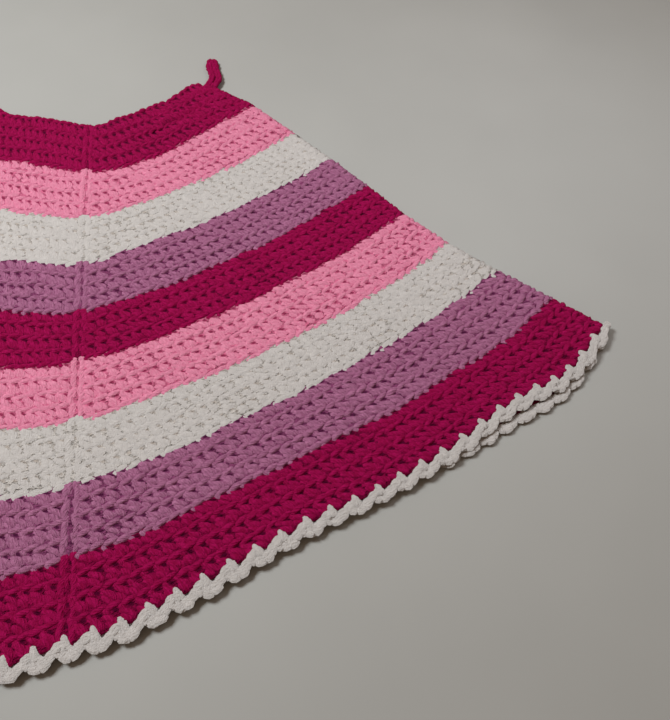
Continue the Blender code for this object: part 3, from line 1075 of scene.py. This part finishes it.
def ground_material(colour, groups):
    """The yarn between the stitches, painted in shade, and darker still with painted shadow where
    there is a hole.
    """
    between, deep = SHADED_GROUNDS[colour]
    material, nodes, links, shader = shader_of(f"ground_{colour}")
    fuzz = use_group(nodes, groups["fuzz"])
    hole_shadow = use_group(nodes, groups["holes"]).outputs["Hole"]
    hatch = use_group(nodes, groups["hatch"]).outputs["Strand"]
    # Painted light on the hatched strands' crests and painted shade in their hollows
    hatched = mix_colour(nodes, links, hatch, shaded(between, HATCH_DARK),
                         shaded(between, HATCH_LIGHT))
    worn = math_node(nodes, links, "MULTIPLY", fuzz.outputs["Fibre"], GROUND_FIBRE)
    worn = mix_colour(nodes, links, worn, hatched, shaded(between, GROUND_FIBRE_SHADE))
    # Painted shadow: where there is a hole the ground takes the darker colour
    links.new(mix_colour(nodes, links, hole_shadow, worn, deep), shader.inputs["Base Color"])
    normal = bump(nodes, links, hatch, GROUND_HATCH_BUMP, HATCH_DEPTH)
    normal = bump(nodes, links, fuzz.outputs["Fibre"], GROUND_FIBRE_BUMP, FIBRE_DEPTH, normal)
    links.new(normal, shader.inputs["Normal"])
    set_finish(shader, FIBROUS)
    shader.inputs["Sheen Tint"].default_value = (*shaded(between, 1.0, SHEEN_LIFT), 1.0)
    return material


def table_material(groups):
    material, nodes, links, shader = shader_of("pale_table")
    grain = use_group(nodes, groups["fuzz"])
    set_finish(grain, TABLE_GRAIN)
    paint = mix_colour(nodes, links, grain.outputs["Mottle"], TABLE_DARK, TABLE_LIGHT)
    links.new(paint, shader.inputs["Base Color"])
    set_finish(shader, TABLE_FINISH)
    return material


# ---------------------------------------------------------------- camera, light and table
PHOTO_WIDTH = 670.0
FOCAL_PIXELS = 600.0
SENSOR = 36.0
CAMERA_DOWN = math.radians(60.095)
CAMERA_HEADING = math.radians(10.18)
CAMERA_ROLL = math.radians(0.40)
CAMERA_HEIGHT = 0.3342    # above the top of the cloth
CAMERA_GROUND = (0.1291, -0.4435)
CAMERA_NEAR = 0.01

LIGHT_COLUMNS = ("name", "place", "target", "size", "power", "colour")
LIGHT_ROWS = (
    ("key_light", (-0.42, 0.24, 0.94), (0.0, 0.05, 0.0), 0.34, 10.5, (0.98, 1.01, 0.99)),
    ("top_light", (0.42, 0.08, 0.34), (0.42, 0.08, 0.0), 0.30, 0.40, (0.98, 1.0, 1.02)),
)
ROOM_COLOUR = (1.0, 0.72, 0.50)
ROOM_STRENGTH = 0.20
TABLE_SIZE = 6.0


def make_camera():
    camera = bpy.data.objects.new("photo_camera", bpy.data.cameras.new("photo_camera"))
    camera.data.sensor_fit = "HORIZONTAL"
    camera.data.sensor_width = SENSOR
    camera.data.lens = FOCAL_PIXELS / PHOTO_WIDTH * SENSOR
    camera.data.clip_start = CAMERA_NEAR
    heading = Vector((math.sin(CAMERA_HEADING), math.cos(CAMERA_HEADING), 0.0))
    forward = heading * math.cos(CAMERA_DOWN) - Vector((0.0, 0.0, math.sin(CAMERA_DOWN)))
    level_right = Vector((heading.y, -heading.x, 0.0))
    level_up = level_right.cross(forward)
    right = level_right * math.cos(CAMERA_ROLL) + level_up * math.sin(CAMERA_ROLL)
    up = right.cross(forward)
    turned = Matrix((right, up, -forward)).transposed().to_4x4()
    top = 2 * FOLD_RADIUS
    place = Vector((CAMERA_GROUND[0], CAMERA_GROUND[1] + SHIFT_Y, top + CAMERA_HEIGHT))
    camera.matrix_world = Matrix.Translation(place) @ turned
    bpy.context.scene.collection.objects.link(camera)
    bpy.context.scene.camera = camera


def make_area_light(name, place, target, size, power, colour):
    light = bpy.data.lights.new(name, "AREA")
    light.shape = "DISK"
    light.size = size
    light.energy = power
    light.color = colour
    obj = bpy.data.objects.new(name, light)
    obj.location = place
    obj.rotation_euler = (Vector(target) - Vector(place)).to_track_quat("-Z", "Y").to_euler()
    bpy.context.scene.collection.objects.link(obj)


def make_lights():
    for light in records(LIGHT_COLUMNS, LIGHT_ROWS):
        make_area_light(**light)
    room = bpy.data.worlds.new("studio")
    room.use_nodes = True
    background = room.node_tree.nodes["Background"]
    background.inputs["Color"].default_value = (*ROOM_COLOUR, 1.0)
    background.inputs["Strength"].default_value = ROOM_STRENGTH
    bpy.context.scene.world = room
    bpy.context.scene.view_settings.view_transform = "Standard"


def make_table(groups):
    bpy.ops.mesh.primitive_plane_add(size=TABLE_SIZE)
    table = bpy.context.object
    table.name = "table_top"
    table.data.materials.append(table_material(groups))


def declare(piece, node):
    """A piece's place in the frame: its body and the solid that it replaces."""
    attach(piece, "root")
    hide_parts(node)


def declare_stripe(stripe, colour, core, yarn_pieces):
    """The pieces of a stripe, and the cloth that it is cut to."""
    for piece in (core, *yarn_pieces):
        declare(piece, f"stripe_{stripe + 1}_{colour}")


def main():
    groups = {"streaks": yarn_streak_group(), "fuzz": yarn_fuzz_group(), "holes": hole_group(),
              "hatch": hatch_group()}
    yarns = {colour: yarn_material(colour, groups) for colour in YARNS}
    grounds = {colour: ground_material(colour, groups) for colour in SHADED_GROUNDS}
    make_camera()
    make_lights()
    make_table(groups)
    for stripe in range(STRIPES):
        colour = STRIPE_ORDER[stripe % len(STRIPE_ORDER)]
        core = make_core(stripe, colour, grounds[colour])
        stitches = make_stripe_stitches(stripe, colour, yarns[colour])
        declare_stripe(stripe, colour, core, stitches)
    for name, back in (("edging_front", False), ("edging_back", True)):
        declare(make_edging(f"loops_{name}", back, yarns["white"]), name)
    declare(make_waist_loop(yarns["magenta"]), "waist_loop")


main()
